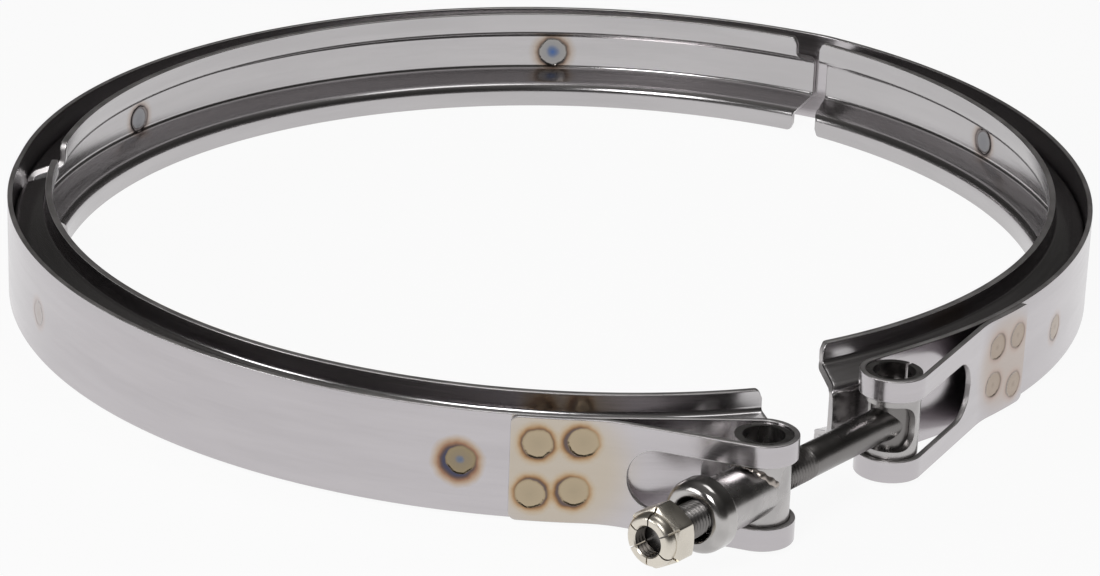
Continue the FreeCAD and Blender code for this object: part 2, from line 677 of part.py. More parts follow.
bolt = newBody("t_bolt")
headRadius = f"({sleeveInner} - {S('head_clearance')})"
turnedAlongBolt(bolt, "bolt_shank", [
    ("0", "0"), ("0", S("flare_radius")), (f"{headRadius}", S("flare_radius")),
    (S("flare_length"), S("bolt_radius")),
    (f"({S('bolt_length')} - {S('bolt_chamfer')})", S("bolt_radius")),
    (S("bolt_length"), f"({S('bolt_radius')} - {S('bolt_chamfer')})"), (S("bolt_length"), "0")])
head = disc(bolt, "bolt_head_outline", "XY_Plane", headRadius)
pad(bolt, head, "bolt_head", S("head_length"), symmetric=True)
place(bolt, rightAxis, boltAngle)

nut = newBody("lock_nut")
seat = f"({axisSpan} + {S('barrel_length')} + {S('cap_length')} + {S('nut_seat_gap')})"
hexEnd, nutEnd = S("nut_hex_length"), f"({S('nut_hex_length')} + {S('nut_crown_length')})"
hexagon = attachedSketch(nut, "nut_hexagon", "YZ_Plane")
across = f"({S('nut_across_flats')} / 2 / cos(30))"
polygon(hexagon, [
    (f"({across} * cos({60 * k} + {S('nut_turn_angle')}))", f"({across} * sin({60 * k} + {S('nut_turn_angle')}))")
    for k in range(6)])
pad(nut, hexagon, "nut_hexagon_block", hexEnd)
slope = f"tan({S('nut_chamfer_angle')})"
flat, tip = f"({S('nut_across_flats')} / 2 * 0.97)", f"({across} + 0.5)"
chamfer = attachedSketch(nut, "nut_chamfer_outline", "XZ_Plane")
polygon(chamfer, [
    (hexEnd, flat), (f"({hexEnd} + 1)", flat), (f"({hexEnd} + 1)", tip),
    (f"({hexEnd} - ({tip} - {flat}) * {slope})", tip)])
polygon(chamfer, [
    ("0", flat), (f"(({tip} - {flat}) * {slope})", tip), ("(-1)", tip), ("(-1)", flat)])
doc.recompute()
before = nut.Shape.Volume
groove = nut.newObject("PartDesign::Groove", "nut_chamfer")
groove.Profile = chamfer
groove.ReferenceAxis = (chamfer, ["H_Axis"])
groove.Angle = 360
doc.recompute()
if not nut.Shape.Volume < before - 0.01:
    raise ValueError("the nut's chamfer removed nothing")
crownRim = roundedRim(nutEnd, S("nut_crown_radius"), S("nut_crown_round"), 1, 2)
turnedAlongBolt(nut, "nut_crown", [("0", "0"), (nutEnd, "0")] + crownRim[::-1]
                + [("0", S("nut_crown_radius"))])
boreRadius = f"({S('bolt_radius')} + {S('thread_clearance')})"
bore = disc(nut, "nut_bore_outline", "YZ_Plane", boreRadius)
pocket(nut, bore, "nut_bore", f"4 * {nutEnd}", symmetric=True)
slot = attachedSketch(nut, "nut_slot_outline", "XY_Plane")
slot.AttachmentOffset = Placement(Vector(), Rotation(Vector(1, 0, 0), 1))
slot.setExpression("AttachmentOffset.Rotation.Angle", S("nut_turn_angle"))
width = f"({S('nut_slot_width')} / 2)"
rectangle(slot, f"({nutEnd} - {S('nut_slot_depth')})", f"({nutEnd} + 1)", f"(-{width})", width)
firstSlot = pocket(nut, slot, "nut_slot", f"4 * {S('nut_crown_radius')}", symmetric=True)
others = nut.newObject("PartDesign::PolarPattern", "nut_other_slots")
others.Originals = [firstSlot]
others.Axis = (next(f for f in nut.Origin.OriginFeatures if f.Role == "X_Axis"), [""])
others.Angle = 360
others.Occurrences = 3
nut.Tip = others
nutPlace = (f"({rightAxis[0]} + {seat} * cos({boltAngle}))",
            f"({rightAxis[1]} + {seat} * sin({boltAngle}))")
place(nut, nutPlace, boltAngle)
doc.recompute()

# Checks and files
for item in doc.Objects:
    if "Invalid" in item.State or "Error" in item.State:
        raise ValueError(f"{item.Name} is {item.State}")
nodes = {
    "outer_band": outerBand, "retainer_back": retainers[0], "retainer_front": retainers[1],
    "retainer_right": retainers[2], "trunnion": trunnion, "barrel_cap": cap,
    "bolt_sleeve": sleeve, "t_bolt": bolt, "lock_nut": nut}
for label, item in nodes.items():
    shape = item.Shape
    if shape.isNull() or not shape.isValid() or len(shape.Solids) != 1:
        raise ValueError(f"{label} has no single valid solid")
    item.Label = label
    shape.exportStep(f"parts/{label}.step")
    box = shape.BoundBox
    print(f"{label}: {shape.Volume:.0f} mm3, x {box.XMin:.2f} {box.XMax:.2f},"
          f" y {box.YMin:.2f} {box.YMax:.2f}, z {box.ZMin:.2f} {box.ZMax:.2f}")
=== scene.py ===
import math
import bpy
import bmesh
import numpy as np
from mathutils import Matrix, Vector


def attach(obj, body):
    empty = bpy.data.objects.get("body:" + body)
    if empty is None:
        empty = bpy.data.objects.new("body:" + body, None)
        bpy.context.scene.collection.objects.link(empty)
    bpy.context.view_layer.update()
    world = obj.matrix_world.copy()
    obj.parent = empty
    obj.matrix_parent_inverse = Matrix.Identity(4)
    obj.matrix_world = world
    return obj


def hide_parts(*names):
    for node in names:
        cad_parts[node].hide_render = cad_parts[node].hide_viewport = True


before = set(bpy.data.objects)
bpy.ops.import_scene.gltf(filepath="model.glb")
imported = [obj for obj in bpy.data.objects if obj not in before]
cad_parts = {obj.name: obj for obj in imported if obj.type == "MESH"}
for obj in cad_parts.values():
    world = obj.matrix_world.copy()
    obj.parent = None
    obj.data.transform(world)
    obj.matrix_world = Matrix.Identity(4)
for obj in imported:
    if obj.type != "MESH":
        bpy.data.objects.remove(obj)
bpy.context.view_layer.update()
print("frame loaded")

mm = 0.001  # lengths below are in millimetres, meshes in metres
tiny = 1e-4  # radius that closes a pole, in millimetres
weldDistance = 1e-7  # points closer than this become one, in metres

# plan of the ring, seen along its axis
plan = {
    "bandOuter": 145.0, "bandThickness": 1.3, "bandWidth": 25.2,
    "leftGapAngle": 179.0, "rightGapAngle": 62.0, "frontTurn": -2.33, "rightTurn": -6.84,
    "hingeRadius": 30.0, "bendRadius": 30.0,
    "leftLoopAngle": 285.64, "leftStandoff": 3.2, "leftBendAngle": 271.0, "leftEndAngle": 264.6,
    "rightLoopAngle": 304.86, "rightStandoff": 0.85, "rightBendAngle": 320.7,
    "rightEndAngle": 326.4, "loopInner": 6.65,
}
# section and ends of the retainers
hat = {"thickness": 1.6, "halfHeight": 14.0, "lipInner": 133.9, "webCorner": 6.1, "legAngle": 20.0,
       "bend": 1.4, "trim": 2.4, "trimCorner": 2.0, "trimFoot": 1.12, "edge": 0.3, "step": 1.3,
       "fade": 12.0}


def turned(degrees, radius=1.0):
    angle = np.radians(degrees)
    return radius * np.stack([np.cos(angle), np.sin(angle)], axis=-1)


def arcCentre(gapAngle, turn):
    # the arc turns about the point of the band at its gap
    return turned(gapAngle, plan["bandOuter"]) - turned(gapAngle + turn, plan["bandOuter"])


backCentre = np.zeros(2)
frontCentre = arcCentre(plan["leftGapAngle"], plan["frontTurn"])
rightCentre = arcCentre(plan["rightGapAngle"], plan["rightTurn"])
bandInner = plan["bandOuter"] - plan["bandThickness"]
bandMiddle = plan["bandOuter"] - plan["bandThickness"] / 2
loopOuter = plan["loopInner"] + plan["bandThickness"]
leftAxis = frontCentre + turned(plan["leftLoopAngle"], bandInner + plan["leftStandoff"] + loopOuter)
rightAxis = rightCentre + turned(
    plan["rightLoopAngle"], bandInner + plan["rightStandoff"] + loopOuter)
axisSpan = float(np.linalg.norm(leftAxis - rightAxis))
alongBolt = (leftAxis - rightAxis) / axisSpan
acrossBolt = np.array([-alongBolt[1], alongBolt[0]])


def gridFaces(rows, columns, closeRows=False, closeColumns=False):
    r = np.arange(rows if closeRows else rows - 1)
    c = np.arange(columns if closeColumns else columns - 1)
    r, c = np.meshgrid(r, c, indexing="ij")
    nextR, nextC = (r + 1) % rows, (c + 1) % columns
    corners = [r * columns + c, nextR * columns + c, nextR * columns + nextC, r * columns + nextC]
    return np.stack(corners, axis=-1).reshape(-1, 4)


def newPiece(name, parts, body, material, replaces=(), edgeMaterial=None,
             smoothAngle=40):
    # each part is its points, its faces and, where it has cut edges, a mark on their faces
    points, faces, marks, offset = [], [], [], 0
    for partPoints, partFaces, *partMarks in parts:
        points.append(partPoints.reshape(-1, 3))
        faces.append(partFaces + offset)
        marks.append(partMarks[0] if partMarks else np.zeros(len(partFaces), int))
        offset += len(points[-1])
    points, faces = np.vstack(points) * mm, np.vstack(faces)
    mesh = bpy.data.meshes.new(name)
    mesh.from_pydata(points.tolist(), [], faces.tolist())
    mesh.materials.append(material)
    if edgeMaterial:
        mesh.materials.append(edgeMaterial)
        mesh.polygons.foreach_set("material_index", np.concatenate(marks).astype(np.int32))
    shape = bmesh.new()
    shape.from_mesh(mesh)
    bmesh.ops.remove_doubles(shape, verts=shape.verts, dist=weldDistance)
    bmesh.ops.dissolve_degenerate(shape, edges=shape.edges, dist=weldDistance)
    bmesh.ops.recalc_face_normals(shape, faces=shape.faces)
    shape.to_mesh(mesh)
    shape.free()
    mesh.shade_smooth()
    mesh.set_sharp_from_angle(angle=math.radians(smoothAngle))
    piece = bpy.data.objects.new(name, mesh)
    bpy.context.scene.collection.objects.link(piece)
    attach(piece, body)
    if replaces:
        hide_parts(*replaces)
    print("made", name, len(mesh.vertices), "points")


def smoothStep(x):
    x = np.clip(x, 0, 1)
    return x * x * (3 - 2 * x)


def drawnIn(fromEnd, radius):
    # how far an outline with a round corner lies inside its full size, at a distance from its end
    return radius - np.sqrt(np.maximum(radius**2 - np.maximum(radius - fromEnd, 0) ** 2, 0))


def tangentPoints(first, second):
    # ends of the common tangent of two circles, each given as centre, radius and sense of turning
    (centreA, radiusA, senseA), (centreB, radiusB, senseB) = first, second
    between = centreB - centreA
    distance = np.linalg.norm(between)
    turn = math.acos(max(-1, min(1, (senseB * radiusB - senseA * radiusA) / distance)))
    line = math.atan2(between[1], between[0])
    normals = [np.array([math.cos(line + t), math.sin(line + t)]) for t in (turn, -turn)]
    normal = max(normals, key=lambda n: n[1] * between[0] - n[0] * between[1])
    return centreA - normal * senseA * radiusA, centreB - normal * senseB * radiusB


def runSegments(circles, start, end):
    # arcs and straight runs of the path that goes round the circles and along their tangents
    joints = [tangentPoints(a, b) for a, b in zip(circles, circles[1:])]
    starts = [start] + [b for a, b in joints]
    ends = [a for a, b in joints] + [end]
    segments, length = [], 0.0
    for (centre, radius, sense), a, b in zip(circles, starts, ends):
        if segments and np.linalg.norm(a - segments[-1]["last"]) > 0.001:
            run = float(np.linalg.norm(a - segments[-1]["last"]))
            segments.append({"from": length, "to": length + run, "first": segments[-1]["last"],
                             "last": a, "radius": None})
            length += run
        low = math.atan2(*(a - centre)[::-1])
        sweep = (math.atan2(*(b - centre)[::-1]) - low) * sense % (2 * math.pi)
        segments.append({"from": length, "to": length + sweep * radius, "centre": centre,
                         "radius": radius, "sense": sense, "angle": low, "last": b})
        length += sweep * radius
    return segments


def alongRun(segments, s):
    # place and left normal of the path at distances s
    place, normal = np.zeros((len(s), 2)), np.zeros((len(s), 2))
    for segment in segments:
        here = (s >= segment["from"] - 1e-9) & (s <= segment["to"] + 1e-9)
        t = s[here] - segment["from"]
        if segment["radius"] is None:
            step = (segment["last"] - segment["first"]) / (segment["to"] - segment["from"])
            place[here] = segment["first"] + t[:, None] * step
            normal[here] = [-step[1], step[0]]
        else:
            angle = segment["angle"] + segment["sense"] * t / segment["radius"]
            out = np.stack([np.cos(angle), np.sin(angle)], axis=-1)
            place[here] = segment["centre"] + segment["radius"] * out
            normal[here] = -segment["sense"] * out
    return place, normal


def stripHalves(segments, s, thickness, opening, edge, rim):
    # Upper and lower half of a strip with long slots. Each row is a closed loop round the half
    # strip: out along one face, round the rim, back along the other face and round the wall of
    # the slot. opening(s) is the slot's half height and rim(fromEnd) the strip's half width.
    place, normal = alongRun(segments, s)
    total = segments[-1]["to"]
    fromEnd = np.minimum(s, total - s)
    inset = drawnIn(fromEnd, edge)
    low = opening(s)
    high = rim(fromEnd) - inset
    half = thickness / 2 - inset
    rimRound = np.minimum(edge, half * 0.96)
    slotRound = np.minimum(rimRound, low * 0.5)
    quarter = np.radians(np.linspace(0, 90, 5))[1:]
    start, stop = low + slotRound, high - rimRound
    # (offset from the middle, height) of each point of the loop
    face = [(half, start + f * (stop - start)) for f in (0.0, 0.012, 0.3, 0.7, 0.988, 1.0)]
    rimTurn = [(half - rimRound + rimRound * np.cos(q), stop + rimRound * np.sin(q))
               for q in quarter]
    slotTurn = [(half - slotRound + slotRound * np.cos(q), start - slotRound * np.sin(q))
                for q in quarter]
    front = face + rimTurn
    back = [(-offset, height) for offset, height in front[::-1]]
    wall = [(-offset, height) for offset, height in slotTurn] + slotTurn[::-1]
    wallFrom = len(front) + len(back) - 1
    offsets, heights = [np.stack(values, axis=1) for values in zip(*(front + back + wall))]
    count = offsets.shape[1]
    flat = place[:, None, :] + normal[:, None, :] * offsets[:, :, None]
    faces = gridFaces(len(s), count, closeColumns=True)
    row, column = faces[:, 0] // count, faces[:, 0] % count
    noWall = (low[row] <= 1e-9) & (low[np.minimum(row + 1, len(s) - 1)] <= 1e-9)
    faces = faces[~(noWall & (column >= wallFrom))]
    column = faces[:, 0] % count
    onEdge = (column >= wallFrom) | (
        (column >= len(face)) & (column < len(face) + 2 * len(rimTurn) - 1))
    # both cut ends are closed by joining the two faces of the strip
    n = wallFrom + 1
    k = np.arange(n // 2 - 1)
    caps = []
    for base in (0, (len(s) - 1) * count):
        caps.append(np.stack([base + k, base + k + 1, base + n - 2 - k, base + n - 1 - k], axis=-1))
    marks = np.concatenate([onEdge, np.ones(sum(len(c) for c in caps), bool)])
    faces = np.vstack([faces, *caps])
    upper = np.dstack([flat, heights])
    lower = np.dstack([flat, -heights])
    return [(upper, faces, marks), (lower, faces[:, ::-1], marks)]


def rowsAlong(segments, coarse, fine, fineRuns, sharpEnds):
    # distances of the rows: a coarse step, a fine one on the named runs, and rows that crowd
    # where an outline turns square to the path; of rows that nearly coincide one is kept
    total = segments[-1]["to"]
    s = [np.linspace(0, total, int(total / coarse) + 1)]
    for a, b in fineRuns:
        s.append(np.linspace(a, b, int((b - a) / fine) + 1))
    for at, reach, sense in sharpEnds:
        s.append(at + sense * reach * (1 - np.cos(np.radians(np.linspace(0, 90, 17)))))
    for segment in segments:
        s.append(np.array([segment["from"], segment["to"]]))
    s = np.unique(np.round(np.clip(np.concatenate(s), 0, total), 4))
    return s[np.concatenate([[True], np.diff(s) > band["closest"]])]


def nodeMaterial(name):
    # a metal whose other values are set or linked by the caller
    material = bpy.data.materials.new(name)
    material.use_nodes = True
    tree = material.node_tree
    shader = tree.nodes["Principled BSDF"]
    shader.inputs["Metallic"].default_value = 1.0
    return material, tree, shader


def mathNode(tree, operation, a, b=None, c=None):
    node = tree.nodes.new("ShaderNodeMath")
    node.operation = operation
    for socket, value in zip(node.inputs, (a, b, c)):
        if value is None:
            continue
        if hasattr(value, "is_output"):
            tree.links.new(value, socket)
        else:
            socket.default_value = value
    return node.outputs[0]


def vectorNode(tree, operation, place, fixed):
    node = tree.nodes.new("ShaderNodeVectorMath")
    node.operation = operation
    node.inputs[1].default_value = fixed
    tree.links.new(place, node.inputs[0])
    return node.outputs["Value"]


def rampNode(tree, value, stops):
    # stops are (place, colour with its strength)
    node = tree.nodes.new("ShaderNodeValToRGB")
    for k, (at, colour) in enumerate(stops):
        stop = node.color_ramp.elements[k] if k < 2 else node.color_ramp.elements.new(at)
        stop.position = at
        stop.color = colour
    tree.links.new(value, node.inputs[0])
    return node


def mapRange(tree, value, fromLow, fromHigh, toLow, toHigh):
    node = tree.nodes.new("ShaderNodeMapRange")
    node.interpolation_type = "SMOOTHSTEP"
    tree.links.new(value, node.inputs["Value"])
    for key, number in (("From Min", fromLow), ("From Max", fromHigh), ("To Min", toLow),
                        ("To Max", toHigh)):
        node.inputs[key].default_value = number
    return node.outputs["Result"]


def mixColour(tree, share, a, b):
    node = tree.nodes.new("ShaderNodeMix")
    node.data_type = "RGBA"
    for socket, value in ((node.inputs[0], share), (node.inputs[6], a), (node.inputs[7], b)):
        if hasattr(value, "is_output"):
            tree.links.new(value, socket)
        elif isinstance(value, (int, float)):
            socket.default_value = value
        else:
            socket.default_value = (*value, 1)
    return node.outputs[2]


def noise(tree, vector, scale, detail=3.0, rough=0.5):
    node = tree.nodes.new("ShaderNodeTexNoise")
    node.inputs["Scale"].default_value = scale
    node.inputs["Detail"].default_value = detail
    node.inputs["Roughness"].default_value = rough
    tree.links.new(vector, node.inputs["Vector"])
    return node.outputs["Fac"]


def ringCoordinates(tree):
    # the place itself, and the ring unrolled to the distance along the band and the height
    place = tree.nodes.new("ShaderNodeTexCoord").outputs["Object"]
    split = tree.nodes.new("ShaderNodeSeparateXYZ")
    tree.links.new(place, split.inputs[0])
    angle = mathNode(tree, "ARCTAN2", split.outputs[1], split.outputs[0])
    along = mathNode(tree, "MULTIPLY", angle, bandMiddle * mm)
    joined = tree.nodes.new("ShaderNodeCombineXYZ")
    tree.links.new(along, joined.inputs[0])
    tree.links.new(split.outputs[2], joined.inputs[1])
    return place, joined.outputs[0]


def stretched(tree, vector, along, across):
    node = tree.nodes.new("ShaderNodeMapping")
    node.inputs["Scale"].default_value = (along, across, 1)
    tree.links.new(vector, node.inputs["Vector"])
    return node.outputs[0]


def bump(tree, shader, height, distance, strength=1.0, before=None):
    node = tree.nodes.new("ShaderNodeBump")
    node.inputs["Strength"].default_value = strength
    node.inputs["Distance"].default_value = distance
    tree.links.new(height, node.inputs["Height"])
    if before is not None:
        tree.links.new(before, node.inputs["Normal"])
    tree.links.new(node.outputs[0], shader.inputs["Normal"])
    return node.outputs[0]


# looks of the resistance welds: a tint around the weld and a dull disc on top of it, each as
# its reach and stops of (share of the reach, colour, strength) from the middle outwards
weldLooks = {
    "strong": {"tint": (6.6, (
        (0.0, (0.05, 0.05, 0.09), 0.95), (0.50, (0.05, 0.05, 0.09), 0.95),
        (0.59, (0.09, 0.05, 0.04), 0.92), (0.68, (0.27, 0.12, 0.045), 0.85),
        (0.80, (0.42, 0.26, 0.11), 0.6), (1.0, (0.50, 0.40, 0.26), 0.0))),
        "disc": (3.5, (
            (0.0, (0.13, 0.17, 0.25), 0.9), (0.20, (0.20, 0.21, 0.24), 0.85),
            (0.34, (0.28, 0.23, 0.16), 0.9), (0.84, (0.30, 0.24, 0.15), 0.95),
            (0.93, (0.26, 0.20, 0.12), 0.9), (1.0, (0.26, 0.20, 0.12), 0.0)))},
    "golden": {"tint": (5.7, (
        (0.0, (0.09, 0.06, 0.07), 0.9), (0.60, (0.09, 0.06, 0.06), 0.9),
        (0.65, (0.19, 0.09, 0.035), 0.9), (0.73, (0.38, 0.21, 0.08), 0.75),
        (0.85, (0.48, 0.34, 0.18), 0.35), (1.0, (0.50, 0.40, 0.26), 0.0))),
        "disc": (3.6, (
            (0.0, (0.40, 0.33, 0.23), 0.95), (0.80, (0.44, 0.36, 0.25), 0.95),
            (0.90, (0.40, 0.32, 0.21), 0.95), (1.0, (0.40, 0.30, 0.19), 0.0)))},
    "thin": {"tint": (5.2, (
        (0.0, (0.15, 0.11, 0.09), 0.8), (0.60, (0.15, 0.11, 0.09), 0.8),
        (0.67, (0.38, 0.27, 0.22), 0.5), (0.80, (0.48, 0.37, 0.32), 0.3),
        (1.0, (0.50, 0.42, 0.36), 0.0))),
        "disc": (3.3, (
            (0.0, (0.34, 0.28, 0.23), 0.9), (0.30, (0.42, 0.35, 0.29), 0.9),
            (0.86, (0.40, 0.33, 0.27), 0.9), (1.0, (0.36, 0.29, 0.24), 0.0)))},
    "faint": {"tint": (5.2, (
        (0.0, (0.34, 0.28, 0.25), 0.5), (0.60, (0.34, 0.27, 0.24), 0.5),
        (0.70, (0.46, 0.36, 0.32), 0.4), (1.0, (0.52, 0.45, 0.42), 0.0))),
        "disc": (3.2, (
            (0.0, (0.42, 0.37, 0.35), 0.8), (0.86, (0.46, 0.42, 0.41), 0.8),
            (1.0, (0.46, 0.42, 0.41), 0.0)))},
    "brown": {"tint": (7.4, (
        (0.0, (0.07, 0.045, 0.03), 0.95), (0.56, (0.06, 0.04, 0.03), 0.95),
        (0.62, (0.20, 0.12, 0.07), 0.8), (0.74, (0.38, 0.28, 0.19), 0.5),
        (1.0, (0.44, 0.38, 0.33), 0.0))),
        "disc": (4.2, (
            (0.0, (0.05, 0.12, 0.32), 0.95), (0.28, (0.14, 0.18, 0.28), 0.9),
            (0.50, (0.30, 0.30, 0.31), 0.9), (0.88, (0.34, 0.33, 0.32), 0.9),
            (1.0, (0.30, 0.28, 0.26), 0.0)))},
    "double": {"tint": (6.4, (
        (0.0, (0.08, 0.06, 0.055), 0.9), (0.60, (0.08, 0.06, 0.055), 0.9),
        (0.66, (0.26, 0.20, 0.17), 0.7), (0.76, (0.40, 0.31, 0.25), 0.4),
        (1.0, (0.46, 0.42, 0.40), 0.0))),
        "disc": (3.8, (
            (0.0, (0.22, 0.22, 0.235), 0.95), (0.70, (0.25, 0.25, 0.26), 0.95),
            (0.78, (0.12, 0.10, 0.10), 0.9), (0.86, (0.26, 0.24, 0.24), 0.9),
            (1.0, (0.24, 0.20, 0.18), 0.0)))},
}
# rolled strip: colours, roughness, grain, mottling and the dips of the welds
rolled = {"bandColour": (0.52, 0.495, 0.51), "bandRough": (0.17, 0.25),
          "retainerColour": (0.49, 0.475, 0.48), "retainerRough": (0.15, 0.23),
          "grainAlong": 40.0, "grainAcross": 3200.0, "grainDepth": 0.000002, "mottle": 0.05,
          "mottleAlong": 14.0, "mottleAcross": 110.0, "ringWidth": 0.7, "dipDepth": 0.0002,
          "pits": 0.12, "pitScale": 1400.0, "wobble": 0.9, "wobbleScale": 420.0,
          "fieldEdge": 0.3, "fieldStrength": 0.6, "fieldHeight": 0.4}
# the other steels; depth is that of the grain, in metres
steelLooks = {
    "cutSteel": {"colour": (0.58, 0.56, 0.56), "rough": (0.42, 0.5), "grain": 900.0,
                 "depth": 0.00003},
    "latchSteel": {"colour": (0.46, 0.445, 0.44), "rough": (0.2, 0.32), "mottle": (0.82, 1.1)},
    "capSteel": {"colour": (0.47, 0.455, 0.445), "rough": (0.14, 0.24), "grain": 1800.0,
                 "strength": 0.4, "mottle": (0.8, 1.1)},
    # dark bolt: its own dark finish, made darker still as painted shade for where it sits in the
    # sleeve
    "boltSteel": {"colour": (0.21, 0.20, 0.195), "rough": (0.24, 0.36)},
    # near black on the threaded bore of the nut: painted shade for its hollow
    "threadShadeSteel": {"colour": (0.11, 0.10, 0.09), "rough": (0.3, 0.5)},
    "nutSteel": {"colour": (0.68, 0.635, 0.56), "rough": (0.24, 0.36), "grain": 1200.0},
    "beadSteel": {"colour": (0.40, 0.36, 0.33), "rough": (0.2, 0.4), "grain": 2500.0,
                  "depth": 0.00002, "strength": 0.6, "mottle": (0.6, 1.2)},
}
noiseSpan = (0.3, 0.7)  # the part of the noise that is spread over a range


def painted(tree, shade, distance, reach, stops):
    # lays the stops over the shade by the distance
    share = mathNode(tree, "DIVIDE", distance, reach * mm)
    ramp = rampNode(tree, share, [(at, (*colour, strength)) for at, colour, strength in stops])
    return mixColour(tree, ramp.outputs["Alpha"], shade, ramp.outputs["Color"])


def rolledSteel(name, colour, rough, marks, fields=()):
    material, tree, shader = nodeMaterial(name)
    place, unrolled = ringCoordinates(tree)
    lines = noise(tree, stretched(tree, unrolled, rolled["grainAlong"], rolled["grainAcross"]),
                  1.0, 3.0, 0.6)
    broad = noise(tree, stretched(tree, unrolled, rolled["mottleAlong"], rolled["mottleAcross"]),
                  1.0, 4.0, 0.6)
    less, more = 1 - rolled["mottle"], 1 + rolled["mottle"] * 0.7
    shade = mixColour(tree, mapRange(tree, broad, *noiseSpan, 0, 1),
                      tuple(c * less for c in colour), tuple(c * more for c in colour))
    for centre, reach, tint, way, edge in fields:
        # a warm field round the weld that stops at the cut end of the strap
        warm = mapRange(tree, vectorNode(tree, "DISTANCE", place, centre), 0.5 * reach * mm,
                        reach * mm, rolled["fieldStrength"], 0.0)
        along = vectorNode(tree, "DOT_PRODUCT", place, way)
        onStrap = mapRange(tree, along, edge, edge + rolled["fieldEdge"] * mm, 0.0, 1.0)
        shade = mixColour(tree, mathNode(tree, "MULTIPLY", warm, onStrap), shade, tint)
    wobble = mathNode(tree, "MULTIPLY_ADD", noise(tree, place, rolled["wobbleScale"]),
                      rolled["wobble"] * mm, -rolled["wobble"] * mm / 2)
    spots = noise(tree, place, rolled["pitScale"])
    height = None
    for centre, discCentre, kind in marks:
        look = weldLooks[kind]
        away = mathNode(tree, "ADD", vectorNode(tree, "DISTANCE", place, centre), wobble)
        shade = painted(tree, shade, away, *look["tint"])
        toDisc = vectorNode(tree, "DISTANCE", place, discCentre)
        toDisc = mathNode(tree, "ADD", toDisc, wobble)
        shade = painted(tree, shade, toDisc, *look["disc"])
        edge = look["disc"][0]
        dip = mapRange(tree, toDisc, (edge - rolled["ringWidth"]) * mm, edge * mm, 0.0, 1.0)
        pitted = mathNode(tree, "MULTIPLY", mathNode(tree, "SUBTRACT", 1.0, dip), spots)
        dip = mathNode(tree, "MULTIPLY_ADD", pitted, rolled["pits"], dip)
        height = dip if height is None else mathNode(tree, "MINIMUM", height, dip)
    tree.links.new(shade, shader.inputs["Base Color"])
    roughness = mapRange(tree, lines, *noiseSpan, *rough)
    tree.links.new(roughness, shader.inputs["Roughness"])
    normal = bump(tree, shader, lines, rolled["grainDepth"], 0.25)
    bump(tree, shader, height, rolled["dipDepth"], 1.0, normal)
    return material


def plainSteel(name, colour, rough, grain=1500.0, depth=0.00001, strength=0.5,
               mottle=(0.9, 1.07)):
    material, tree, shader = nodeMaterial(name)
    place = tree.nodes.new("ShaderNodeTexCoord").outputs["Object"]
    fine = noise(tree, place, grain, 4.0, 0.6)
    broad = noise(tree, place, 120.0)
    shade = mixColour(tree, mapRange(tree, broad, *noiseSpan, 0, 1),
                      tuple(c * mottle[0] for c in colour), tuple(c * mottle[1] for c in colour))
    tree.links.new(shade, shader.inputs["Base Color"])
    roughness = mapRange(tree, broad, *noiseSpan, *rough)
    tree.links.new(roughness, shader.inputs["Roughness"])
    bump(tree, shader, fine, depth, strength)
    return material


def onRing(key, radius, angle, height):
    point = centres[key] + turned(angle, radius)
    return (point[0] * mm, point[1] * mm, height * mm)


# places of the welds as (angle, height, look) and how far the disc lies off the middle of the
# tint, in degrees and in height; the last ones sit on the folded straps
welds = {
    "back": [(94.3, -0.3, "brown", 0.0, 0.1), (149.8, -1.2, "double", 0.0, 0.1)],
    "front": [(206.9, -0.8, "faint", 0.0, 0.0), (260.0, -0.2, "strong", 0.25, 0.5)],
    "right": [(389.0, -0.2, "double", 0.0, 0.1), (334.5, -1.3, "thin", 0.1, 0.3)],
    "leftStrap": [(267.0, 6.3, "golden", 0.02, 0.05), (270.7, 7.1, "golden", 0.28, 0.05),
                  (266.6, -5.7, "golden", -0.12, -0.2), (270.1, -5.0, "golden", 0.2, 0.25)],
    "rightStrap": [(321.3, 5.1, "thin", -0.12, 0.0), (324.7, 5.4, "thin", 0.02, 0.05),
                   (321.0, -4.5, "thin", -0.1, 0.1), (324.5, -7.0, "thin", 0.05, -0.05)],
}
# folded straps: middle and reach of the warm tint round their welds, their cut end and the way
# round the ring that leads from it along the strap
straps = {
    "leftStrap": {"middle": 268.6, "reach": 21.0, "tint": (0.52, 0.44, 0.31),
                  "end": plan["leftEndAngle"], "sense": 1},
    "rightStrap": {"middle": 322.8, "reach": 15.0, "tint": (0.47, 0.39, 0.32),
                   "end": plan["rightEndAngle"], "sense": -1},
}
webInner = bandInner - hat["thickness"]
strapOuter = plan["bandOuter"] + plan["bandThickness"]
centres = {"back": backCentre, "front": frontCentre, "right": rightCentre,
           "leftStrap": frontCentre, "rightStrap": rightCentre}


def marksAt(key, radius):
    return [(onRing(key, radius, a, z), onRing(key, radius, a + da, z + dz), look)
            for a, z, look, da, dz in welds[key]]


def strapField(key):
    # middle, reach and tint, the way along the strap and the place of its cut end along that way
    strap = straps[key]
    way = turned(strap["end"] + 90 * strap["sense"])
    edge = float(np.dot(centres[key] + turned(strap["end"], strapOuter), way)) * mm
    middle = onRing(key, strapOuter, strap["middle"], rolled["fieldHeight"])
    return middle, strap["reach"], strap["tint"], (*way, 0), edge


bandMarks = marksAt("front", plan["bandOuter"]) + marksAt("right", plan["bandOuter"])
bandMarks += marksAt("leftStrap", strapOuter) + marksAt("rightStrap", strapOuter)
bandSteel = rolledSteel("bandSteel", rolled["bandColour"], rolled["bandRough"], bandMarks,
                        [strapField(key) for key in straps])
retainerSteel = {
    key: rolledSteel("retainerSteel_" + key, rolled["retainerColour"], rolled["retainerRough"],
                     marksAt(key, webInner)) for key in ("back", "front", "right")}
steel = {name: plainSteel(name, **look) for name, look in steelLooks.items()}
print("materials ready")


# outer band: one strip from fold end to fold end
band = {"slotHeight": 14.4, "strapSlot": 28.5, "legSlot": 12.7, "endCorner": 2.0, "edge": 0.3,
        "lift": 0.03, "coarseStep": 1.1, "fineStep": 0.4, "closest": 0.012}


